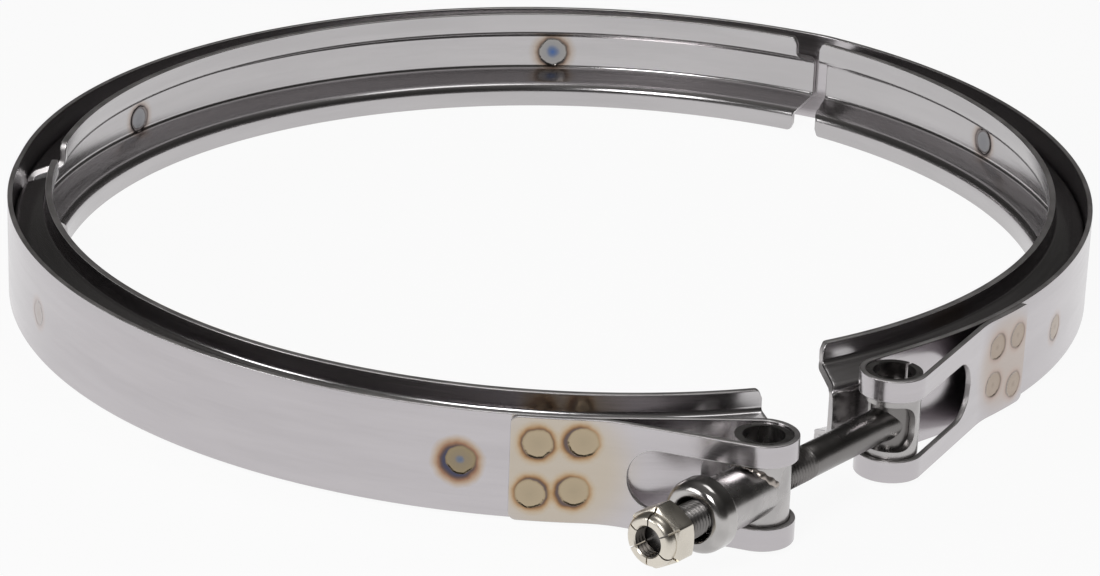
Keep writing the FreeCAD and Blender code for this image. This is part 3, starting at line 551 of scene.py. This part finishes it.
def bandCircles():
    half = plan["bandThickness"] / 2
    strap = strapOuter - half + band["lift"]
    bend = plan["bendRadius"] + half
    hinge = plan["hingeRadius"] + half
    loop = loopOuter - half
    leftBend = frontCentre + turned(plan["leftBendAngle"], strapOuter + plan["bendRadius"])
    rightBend = rightCentre + turned(plan["rightBendAngle"], strapOuter + plan["bendRadius"])
    # the hinge touches the back and the right arc from within
    middle, side = rightCentre / 2, np.array([-rightCentre[1], rightCentre[0]])
    side = side / np.linalg.norm(side) * np.sign(side[1])
    reach = math.sqrt((bandMiddle - hinge) ** 2 - np.dot(middle, middle))
    hingeCentre = middle + side * reach
    return [
        (rightCentre, strap, -1), (rightBend, bend - band["lift"], 1), (rightAxis, loop, -1),
        (rightCentre, bandMiddle, 1), (hingeCentre, hinge, 1), (backCentre, bandMiddle, 1),
        (frontCentre, bandMiddle, 1), (leftAxis, loop, -1), (leftBend, bend - band["lift"], 1),
        (frontCentre, strap, -1)]


circles = bandCircles()
bandRun = runSegments(
    circles, circles[0][0] + turned(plan["rightEndAngle"], circles[0][1]),
    circles[-1][0] + turned(plan["leftEndAngle"], circles[-1][1]))
loopRadius = loopOuter - plan["bandThickness"] / 2
loops = [g for g in bandRun if g["radius"] and abs(g["radius"] - loopRadius) < 1e-6]
slots = [(loops[0]["from"] - band["strapSlot"], loops[0]["to"] + band["legSlot"]),
         (loops[1]["from"] - band["legSlot"], loops[1]["to"] + band["strapSlot"])]


def bandOpening(s):
    # half height of the slots, with full-round ends
    half = band["slotHeight"] / 2
    opening = np.zeros_like(s)
    for a, b in slots:
        inside = (s > a) & (s < b)
        toEnd = np.minimum(np.minimum(s - a, b - s), half)
        rise = np.sqrt(np.maximum(half**2 - (half - toEnd) ** 2, 0))
        opening = np.where(inside, rise, opening)
    return opening


def bandRim(fromEnd):
    # half width of the strip, rounded at the corners of its two cut ends
    return plan["bandWidth"] / 2 - drawnIn(fromEnd, band["endCorner"])


total = bandRun[-1]["to"]
sharp = [(0, band["edge"], 1), (total, band["edge"], -1), (0, band["endCorner"], 1),
         (total, band["endCorner"], -1)]
for a, b in slots:
    sharp += [(a, band["slotHeight"] / 2, 1), (b, band["slotHeight"] / 2, -1)]
bandRows = rowsAlong(bandRun, band["coarseStep"], band["fineStep"],
                     [(g["from"], g["to"]) for g in loops], sharp)
bandHalves = stripHalves(bandRun, bandRows, plan["bandThickness"], bandOpening, band["edge"],
                         bandRim)
newPiece("outerBand", bandHalves, "ring", bandSteel, ["outer_band"],
         steel["cutSteel"])


def hatMiddle():
    # half of the section's middle line as (radius, height) with its left normal, from the
    # middle of the web out to the lip's edge
    t, leg = hat["thickness"], math.radians(hat["legAngle"])
    shift = t * (1 - math.sin(leg)) / math.cos(leg) / 2
    webRadius, lipRadius = bandInner - t / 2, hat["lipInner"] + t / 2
    webCorner = hat["webCorner"] - shift
    lipCorner = hat["webCorner"] + (bandInner - hat["lipInner"] - t) * math.tan(leg) - shift
    bend = hat["bend"] + t / 2
    bendTurn = math.pi / 2 - leg
    back = bend * math.tan(bendTurn / 2)
    legWay = np.array([-math.cos(leg), math.sin(leg)])
    a = np.linspace(0, bendTurn, 9)
    web = np.stack([np.full(5, webRadius), np.linspace(0, 0.985, 5) * (webCorner - back)], -1)
    centreA = np.array([webRadius - bend, webCorner - back])
    arcA = centreA + bend * np.stack([np.cos(a), np.sin(a)], -1)
    centreB = np.array([lipRadius + bend, lipCorner + back])
    b = bendTurn - a
    arcB = centreB - bend * np.stack([np.cos(b), np.sin(b)], -1)
    between = arcA[-1] + np.linspace(0.04, 0.96, 4)[:, None] * (arcB[0] - arcA[-1])
    top = hat["halfHeight"] - hat["edge"]
    lip = np.stack([np.full(4, lipRadius), lipCorner + back
                    + np.array([0.03, 0.5, 0.97, 1.0]) * (top - lipCorner - back)], -1)
    middle = np.vstack([web, arcA, between, arcB, lip])
    way = np.vstack([np.tile([0, 1.0], (5, 1)), np.stack([-np.sin(a), np.cos(a)], -1),
                     np.tile(legWay, (4, 1)), np.stack([-np.sin(b), np.cos(b)], -1),
                     np.tile([0, 1.0], (4, 1))])
    return middle, np.stack([way[:, 1], -way[:, 0]], -1)


hatLine, hatOut = hatMiddle()


def retainer(name, key, node, startAngle, endAngle):
    # rows are angles round the arc; each row is the closed outline of the section, drawn in a
    # little at both cut ends so that their edges are round
    radius = bandInner
    length = math.radians(endAngle - startAngle) * radius
    rounding = hat["edge"] * (1 - np.cos(np.radians([15, 30, 45, 60, 75, 90])))
    rows = np.concatenate([np.linspace(0, length, int(length / hat["step"]) + 1), rounding,
                           length - rounding])
    rows = np.unique(np.round(rows, 5))
    fromEnd = np.minimum(rows, length - rows)
    half = hat["thickness"] / 2 - drawnIn(fromEnd, hat["edge"])[:, None, None]
    quarter = np.radians(np.linspace(0, 90, 5))[1:]
    edge = np.minimum(hat["edge"], half * 0.96)
    side = hatLine[None] + hatOut[None] * half
    otherSide = hatLine[None] - hatOut[None] * half
    last, lastOut = hatLine[-1], hatOut[-1]
    up = np.array([0, 1.0])
    tipA = [last + lastOut * (half - edge + edge * math.cos(q)) + up * edge * math.sin(q)
            for q in quarter]
    tipB = [last - lastOut * (half - edge + edge * math.cos(q)) + up * edge * math.sin(q)
            for q in quarter[::-1]]
    upper = np.concatenate([side, *tipA, *tipB, otherSide[:, ::-1]], axis=1)
    lower = upper[:, ::-1] * np.array([1, -1.0])
    outline = np.concatenate([upper[:, :-1], lower[:, :-1]], axis=1)
    reach = np.abs(outline[:, :, 1])
    # the ends: straight across the web, on a slant over the leg, cut back along the lip
    foot = hat["webCorner"] - hat["trimFoot"]
    lipStart = hat["webCorner"] + (bandInner - hat["lipInner"] - hat["thickness"]) * math.tan(
        math.radians(hat["legAngle"]))
    trim = hat["trim"] * np.clip((reach - foot) / (lipStart - foot), 0, 1)
    trim = trim + drawnIn(hat["halfHeight"] - reach, hat["trimCorner"])
    nearStart = np.clip(1 - rows / hat["fade"], 0, 1)[:, None] ** 2
    nearEnd = np.clip(1 - (length - rows) / hat["fade"], 0, 1)[:, None] ** 2
    along = rows[:, None] + trim * nearStart - trim * nearEnd
    angle = math.radians(startAngle) + along / radius
    centre = centres[key]
    points = np.stack([centre[0] + outline[:, :, 0] * np.cos(angle),
                       centre[1] + outline[:, :, 0] * np.sin(angle), outline[:, :, 1]], axis=-1)
    count = outline.shape[1]
    faces = gridFaces(len(rows), count, closeColumns=True)
    # the cut ends are closed by joining the two sides of the section
    caps = []
    tip = len(hatLine)
    one = np.arange(tip + len(tipA))
    lowStart = upper.shape[1] - 1
    pairs = [(one, lowStart - one), ((2 * lowStart - one) % count, (lowStart + one) % count)]
    for base in (0, (len(rows) - 1) * count):
        for a, b in pairs:
            caps.append(base + np.stack([a[:-1], a[1:], b[1:], b[:-1]], axis=-1))
    column = faces[:, 0] % count
    column = np.where(column >= lowStart, 2 * lowStart - 1 - column, column)
    marks = np.concatenate([(column >= tip) & (column < tip + len(tipA) + len(tipB) - 1),
                            np.ones(sum(len(c) for c in caps), bool)])
    faces = np.vstack([faces, *caps])
    newPiece(name, [(points, faces, marks)], "ring", retainerSteel[key], [node],
             steel["cutSteel"])


# each one's arc of the ring, the node it takes the place of and the angles of its ends
retainers = {"retainerBack": ("back", "retainer_back", 62.9, 177.7),
             "retainerFront": ("front", "retainer_front", 177.9, 289.0),
             "retainerRight": ("right", "retainer_right", 300.8, 414.3)}
for name, values in retainers.items():
    retainer(name, *values)


# bolt: shank, flare and rolled thread
bolt = {"radius": 3.97, "length": 86.4, "threadStart": 33.0, "pitch": 1.058, "depth": 0.62,
        "flare": 4.6, "flareLength": 7.0, "headRadius": 4.85, "headLength": 14.0,
        "headEdge": 0.4, "chamfer": 0.7, "crestRise": 0.08, "crest": 0.1, "around": 72}


def boltFrame(points):
    # (distance along the bolt, across it, height) to the row frame
    flat = rightAxis + points[..., 0:1] * alongBolt + points[..., 1:2] * acrossBolt
    return np.concatenate([flat, points[..., 2:3]], axis=-1)


def roundGrid(x, radius, phi):
    # points at distance x along the axis and at a radius from it, one column per angle phi
    grid = np.broadcast_to(radius, (len(radius), len(phi)))
    x = np.broadcast_to(x, grid.shape)
    return np.stack([x, grid * np.cos(phi), grid * np.sin(phi)], -1)


def fullTurn(around):
    return np.linspace(0, 2 * np.pi, around, endpoint=False)


def threadedShank():
    # the radius falls by a saw of the helix phase with flat crests and roots, which fades in over
    # a turn and a half at the start
    x = np.concatenate([
        [0.0], np.linspace(0.01, bolt["flareLength"], 16), np.linspace(8, bolt["threadStart"], 12),
        np.arange(bolt["threadStart"] + 0.1, bolt["length"] - 0.001, bolt["pitch"] / 12),
        [bolt["length"] - 0.0001, bolt["length"]]])
    phi = fullTurn(bolt["around"])
    t = np.clip(x / bolt["flareLength"], 0, 1)
    shank = bolt["radius"] - bolt["crestRise"]
    plain = bolt["flare"] + (shank - bolt["flare"]) * smoothStep(t)
    phase = (x[:, None] / bolt["pitch"] - phi[None] / (2 * np.pi)) % 1.0
    crest = bolt["crest"]
    groove = bolt["depth"] * np.clip((np.abs(phase * 2 - 1) - crest) / (1 - 2 * crest), 0, 1)
    fade = np.clip((x - bolt["threadStart"]) / (1.5 * bolt["pitch"]), 0, 1)[:, None]
    radius = plain[:, None] + (bolt["crestRise"] - groove) * fade
    fromTip = bolt["length"] - x[:, None]
    radius = np.minimum(radius, bolt["radius"] - bolt["chamfer"] + np.maximum(fromTip, 0))
    radius[[0, -1]] = tiny
    return roundGrid(x[:, None], radius, phi), gridFaces(len(x), len(phi), closeColumns=True)


def uprightHead():
    # cross head: an upright round bar with rounded rims
    z, edge = bolt["headLength"] / 2, bolt["headEdge"]
    q = np.radians(np.linspace(0, 90, 6))
    radius = np.concatenate([[tiny], bolt["headRadius"] - edge + edge * np.sin(q),
                             bolt["headRadius"] - edge + edge * np.cos(q), [tiny]])
    height = np.concatenate([[-z], -z + edge - edge * np.cos(q), z - edge + edge * np.sin(q), [z]])
    points = roundGrid(height[:, None], radius[:, None], fullTurn(bolt["around"]))
    return points[..., [1, 2, 0]], gridFaces(len(height), bolt["around"], closeColumns=True)


boltParts = [(boltFrame(p), f) for p, f in (threadedShank(), uprightHead())]
newPiece("tBolt", boltParts, "bolt", steel["boltSteel"], ["t_bolt"])


# rounded cap on the nose of the barrel
cap = {"back": 68.78, "front": 74.64, "radius": 8.38, "bore": 5.1, "outerRound": 2.65,
       "innerRound": 0.62, "backRound": 0.45, "boreRound": 0.2, "around": 120}


def arcPoints(x, radius, bend, start, stop, steps):
    angle = np.radians(np.linspace(start, stop, steps))
    return np.stack([x + bend * np.cos(angle), radius + bend * np.sin(angle)], -1)


def barrelCap():
    # a closed section of (distance along the bolt, radius) is turned about the bolt's axis
    back, front, outer, inner = cap["back"], cap["front"], cap["radius"], cap["bore"]
    rim, nose, lip, edge = cap["backRound"], cap["outerRound"], cap["innerRound"], cap["boreRound"]
    between = np.array([[0.04], [0.5], [0.96]])
    straight = back + rim + (front - nose - back - rim) * between
    hole = front - lip + (back + edge - front + lip) * between
    section = np.vstack([
        arcPoints(back + rim, outer - rim, rim, 180, 90, 7),
        np.hstack([straight, np.full((3, 1), outer)]),
        arcPoints(front - nose, outer - nose, nose, 90, 0, 19),
        arcPoints(front - lip, inner + lip, lip, 0, -90, 8),
        np.hstack([hole, np.full((3, 1), inner)]),
        arcPoints(back + edge, inner + edge, edge, -90, -180, 4),
        [[back, inner + edge + 0.1], [back, outer - rim - 0.1]]])
    points = roundGrid(section[:, :1], section[:, 1:], fullTurn(cap["around"]))
    return points, gridFaces(len(section), cap["around"], closeRows=True, closeColumns=True)


capPoints, capFaces = barrelCap()
newPiece("barrelCap", [(boltFrame(capPoints), capFaces)], "trunnion",
         steel["capSteel"], ["barrel_cap"])


# lock nut: a hexagon with a slotted crown and a threaded bore
nut = {"seat": 81.68, "hexLength": 5.86, "flat": 6.33, "sharpness": 46, "turn": 31.0,
       "chamferTan": math.tan(math.radians(30)), "crownBase": 6.03, "crownFrom": 6.5,
       "crownFace": 4.75, "length": 8.28, "slotFloor": 5.1, "slotHalf": 2.2, "slotWall": 0.06,
       "holeRim": 3.7, "minor": 3.46, "major": 4.0, "crest": 0.15, "step": 1.25,
       "keepOff": 0.25, "rimShare": 0.97, "bevel": 0.02, "hold": 0.08, "holeBevel": 0.05}


def lockNut():
    # one closed section per angle: out over the seat, along the hexagon, over the crown and
    # back through the thread; inside the slots the section is cut off at the slots' floor
    slots = nut["turn"] + 60 * np.arange(6)
    edges = [-nut["slotHalf"] - nut["slotWall"], -nut["slotHalf"], nut["slotHalf"],
             nut["slotHalf"] + nut["slotWall"]]
    even = np.arange(0, 360, nut["step"])
    fromSlot = (even[:, None] - slots + 180) % 360 - 180
    even = even[np.min(np.abs(np.abs(fromSlot) - nut["slotHalf"]), axis=1) > nut["keepOff"]]
    degrees = np.unique(np.concatenate([even] + [(slots + e) % 360 for e in edges]))
    phi = np.radians(degrees)
    flats = np.radians(nut["turn"] + 30 + 60 * np.arange(6))
    power = nut["sharpness"]
    across = np.sum(np.maximum(np.cos(phi[:, None] - flats), 0) ** power, axis=1)
    hexagon = nut["flat"] / across ** (1 / power)
    rim = nut["rimShare"] * nut["flat"]
    bevel, hold, holeBevel = nut["bevel"], nut["hold"], nut["holeBevel"]
    deep = np.maximum(hexagon - rim, bevel) * nut["chamferTan"]
    top = nut["hexLength"]
    t = np.radians(np.linspace(0, 90, 9))
    crown = np.stack([nut["crownFrom"] + (nut["length"] - nut["crownFrom"]) * np.sin(t),
                      nut["crownFace"] + (nut["crownBase"] - nut["crownFace"]) * np.cos(t)], -1)
    one = np.ones_like(phi)
    rows = [(0 * one, (nut["major"] + 0.1) * one), (0 * one, (rim - 0.1) * one),
            (bevel * one, (rim + bevel) * one), (deep * 0.5, (rim + hexagon) / 2),
            (deep, hexagon - bevel), (deep + hold, hexagon), (top / 2 * one, hexagon),
            (top - deep - hold, hexagon), (top - deep, hexagon - bevel),
            (top - deep * 0.5, (rim + hexagon) / 2), (top - bevel * one, (rim + bevel / 2) * one),
            (top * one, (nut["crownBase"] + bevel) * one)]
    rows += [(x * one, r * one) for x, r in crown]
    end = nut["length"]
    rows += [(end * one, (nut["crownFace"] * 0.6 + nut["holeRim"] * 0.4) * one),
             (end * one, (nut["holeRim"] + holeBevel) * one),
             ((end - holeBevel) * one, nut["holeRim"] * one),
             ((end - 0.3) * one, nut["minor"] * one)]
    # the nut's crests lie in the roots of the bolt's thread
    threadPlaces = np.arange(end - 0.4, 0.35, -bolt["pitch"] / 6)
    threadRows = len(threadPlaces)
    for x in threadPlaces:
        phase = ((nut["seat"] + x) / bolt["pitch"] + 0.5 - phi / (2 * np.pi)) % 1.0
        groove = (np.abs(phase * 2 - 1) - nut["crest"]) / (1 - 2 * nut["crest"])
        groove = np.clip(groove, 0, 1) * (nut["major"] - nut["minor"] - bevel)
        rows.append((x * one, nut["minor"] + groove))
    x, radius = np.array([r[0] for r in rows]), np.array([r[1] for r in rows])
    inSlot = np.min(np.abs((degrees[:, None] - slots + 180) % 360 - 180), axis=1) < (
        nut["slotHalf"] + nut["slotWall"] / 2)
    cut = inSlot[None] & (x > nut["slotFloor"])
    threads = np.arange(len(rows))[:, None] >= len(rows) - threadRows
    radius = np.where(cut & threads, nut["minor"], radius)
    x = np.where(cut, nut["slotFloor"], x)
    points = roundGrid(nut["seat"] + x, radius, phi)
    faces = gridFaces(len(rows), len(phi), closeRows=True, closeColumns=True)
    # the faces of the threaded bore are marked for the near-black steel, a painted shade in the
    # hollow
    return points, faces, (faces[:, 0] // len(phi) >= len(rows) - threadRows - 1).astype(int)


nutPoints, nutFaces, nutMarks = lockNut()
newPiece("lockNut", [(boltFrame(nutPoints), nutFaces, nutMarks)], "nut",
         steel["nutSteel"], ["lock_nut"], steel["threadShadeSteel"], smoothAngle=32)


# weld bead where the barrel meets the upright tube
bead = {"tubeRadius": 6.3, "barrelRadius": 6.5, "thickness": 1.5, "start": 22, "stop": 140,
        "rows": 90, "around": 14, "sunk": 0.98, "tilt": 0.5, "lumps": 7.0, "lumpDepth": 0.12,
        "slowLumps": 2.7, "slowShare": 0.6, "mean": 0.84, "taper": 0.06, "flatness": 0.55}


def trunnionWeld():
    # a thin bead along the seam of the two round bars; its thickness is a mean with a fast and a
    # slow wave on it, which swells it in uneven lumps, and it runs out at both ends
    angle = np.radians(np.linspace(bead["start"], bead["stop"], bead["rows"]))
    across = bead["barrelRadius"] * np.cos(angle)
    height = bead["barrelRadius"] * np.sin(angle)
    along = axisSpan + np.sqrt(np.maximum(bead["tubeRadius"] ** 2 - across**2, 0)) * bead["sunk"]
    line = np.stack([along, across, height], -1)
    way = np.gradient(line, axis=0)
    way /= np.linalg.norm(way, axis=1)[:, None]
    out = line - np.array([axisSpan, 0, 0])
    out[:, 0] *= bead["tilt"]
    out -= np.sum(out * way, axis=1)[:, None] * way
    out /= np.linalg.norm(out, axis=1)[:, None]
    side = np.cross(way, out)
    t = np.linspace(0, 1, bead["rows"])
    lumps = np.cos(2 * np.pi * bead["lumps"] * t)
    lumps += bead["slowShare"] * np.cos(2 * np.pi * bead["slowLumps"] * t + 1)
    thick = bead["thickness"] * (bead["mean"] + bead["lumpDepth"] * lumps)
    thick = thick * np.sqrt(np.clip(np.minimum(t, 1 - t) / bead["taper"], 0, 1))
    turn = fullTurn(bead["around"])
    points = line[:, None] + thick[:, None, None] * (
        bead["flatness"] * np.cos(turn)[None, :, None] * out[:, None]
        + np.sin(turn)[None, :, None] * side[:, None])
    return points, gridFaces(bead["rows"], bead["around"], closeColumns=True)


beadPoints, beadFaces = trunnionWeld()
newPiece("trunnionWeld", [(boltFrame(beadPoints), beadFaces)], "trunnion",
         steel["beadSteel"])

# the tube with its barrel and the sleeve are drawn by the construction itself
for node in ("trunnion", "bolt_sleeve"):
    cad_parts[node].data.materials.clear()
    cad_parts[node].data.materials.append(steel["latchSteel"])


# floor, lamps and camera
stage = {"floorHeight": -14.0, "floorSize": 6.0, "cameraPlace": (0.0, -0.92335, 0.35175),
         "cameraRight": (0.99914289, 0.02224819, 0.034907),
         "cameraUp": (-0.04067178, 0.37077793, 0.92783055), "lens": 125.83, "sensor": 36.0,
         "paperDark": (0.93, 0.93, 0.93), "paperLight": (0.95, 0.95, 0.95), "paperGlow": 0.93,
         "roomTint": (1, 0.975, 0.94)}
# brightness of the room that the steel mirrors, from straight down (0) to straight up (1)
roomLevels = ((0.0, 0.85), (0.50, 0.30), (0.54, 0.08), (0.70, 0.035), (0.85, 0.07), (1.0, 0.20))
lamps = {
    "keyLight": {"place": (-0.32, -1.05, 0.85), "target": (0, -0.1, 0), "size": (0.42, 0.34),
                 "power": 5},
    "sideLight": {"place": (-1.05, -0.55, 0.40), "target": (0, -0.1, 0), "size": (0.40, 0.40),
                  "power": 3},
    "topLight": {"place": (0.25, 0.15, 1.3), "target": (0, 0, 0), "size": (0.7, 0.5),
                 "power": 2.5},
}


def makeFloor():
    size = stage["floorSize"]
    z = (stage["floorHeight"] - 0.02) * mm
    mesh = bpy.data.meshes.new("floor")
    mesh.from_pydata([(-size, -size, z), (size, -size, z), (size, size, z), (-size, size, z)], [],
                     [(0, 1, 2, 3)])
    floor = bpy.data.objects.new("floor", mesh)
    bpy.context.scene.collection.objects.link(floor)
    material, tree, shader = nodeMaterial("floorPaper")
    shader.inputs["Metallic"].default_value = 0.0
    shader.inputs["Roughness"].default_value = 0.9
    place = tree.nodes.new("ShaderNodeTexCoord").outputs["Object"]
    grain = noise(tree, place, 900.0)
    tint = mixColour(tree, grain, stage["paperDark"], stage["paperLight"])
    tree.links.new(tint, shader.inputs["Base Color"])
    glow = tree.nodes.new("ShaderNodeEmission")
    glow.inputs["Color"].default_value = (1, 1, 1, 1)
    glow.inputs["Strength"].default_value = 1.0
    paths = tree.nodes.new("ShaderNodeLightPath")
    seen = mathNode(tree, "MAXIMUM", paths.outputs["Is Camera Ray"], paths.outputs["Is Glossy Ray"])
    seen = mathNode(tree, "MAXIMUM", seen, paths.outputs["Is Transmission Ray"])
    mix = tree.nodes.new("ShaderNodeMixShader")
    tree.links.new(mathNode(tree, "MULTIPLY", seen, stage["paperGlow"]), mix.inputs[0])
    tree.links.new(shader.outputs[0], mix.inputs[1])
    tree.links.new(glow.outputs[0], mix.inputs[2])
    tree.links.new(mix.outputs[0], tree.nodes["Material Output"].inputs["Surface"])
    mesh.materials.append(material)


def areaLight(name, place, target, size, power):
    data = bpy.data.lights.new(name, "AREA")
    data.shape = "RECTANGLE"
    data.size, data.size_y = size
    data.energy = power
    light = bpy.data.objects.new(name, data)
    light.location = place
    light.rotation_euler = (Vector(target) - Vector(place)).to_track_quat("-Z", "Y").to_euler()
    bpy.context.scene.collection.objects.link(light)


def makeWorld():
    # white to the camera; to the steel a room that is dark above the horizon
    world = bpy.data.worlds.new("studio")
    bpy.context.scene.world = world
    world.use_nodes = True
    tree = world.node_tree
    background = tree.nodes["Background"]
    direction = tree.nodes.new("ShaderNodeTexCoord").outputs["Generated"]
    split = tree.nodes.new("ShaderNodeSeparateXYZ")
    tree.links.new(direction, split.inputs[0])
    height = mathNode(tree, "MULTIPLY_ADD", split.outputs[2], 0.5, 0.5)
    ramp = rampNode(tree, height, [(at, (*(level * tint for tint in stage["roomTint"]), 1))
                                   for at, level in roomLevels])
    paths = tree.nodes.new("ShaderNodeLightPath")
    colour = mixColour(tree, paths.outputs["Is Camera Ray"], ramp.outputs[0], (1.0, 1.0, 1.0))
    tree.links.new(colour, background.inputs["Color"])
    background.inputs["Strength"].default_value = 1.0


def makeCamera():
    data = bpy.data.cameras.new("camera")
    data.lens, data.sensor_width, data.sensor_fit = stage["lens"], stage["sensor"], "HORIZONTAL"
    data.clip_start, data.clip_end = 0.01, 50
    camera = bpy.data.objects.new("camera", data)
    right, up = Vector(stage["cameraRight"]), Vector(stage["cameraUp"])
    back = right.cross(up)
    turn = Matrix((right, up, back)).transposed().to_4x4()
    camera.matrix_world = Matrix.Translation(stage["cameraPlace"]) @ turn
    bpy.context.scene.collection.objects.link(camera)
    bpy.context.scene.camera = camera


makeFloor()
makeWorld()
for name, lamp in lamps.items():
    areaLight(name, **lamp)
makeCamera()
bpy.context.scene.view_settings.view_transform = "Standard"
print("stage ready")
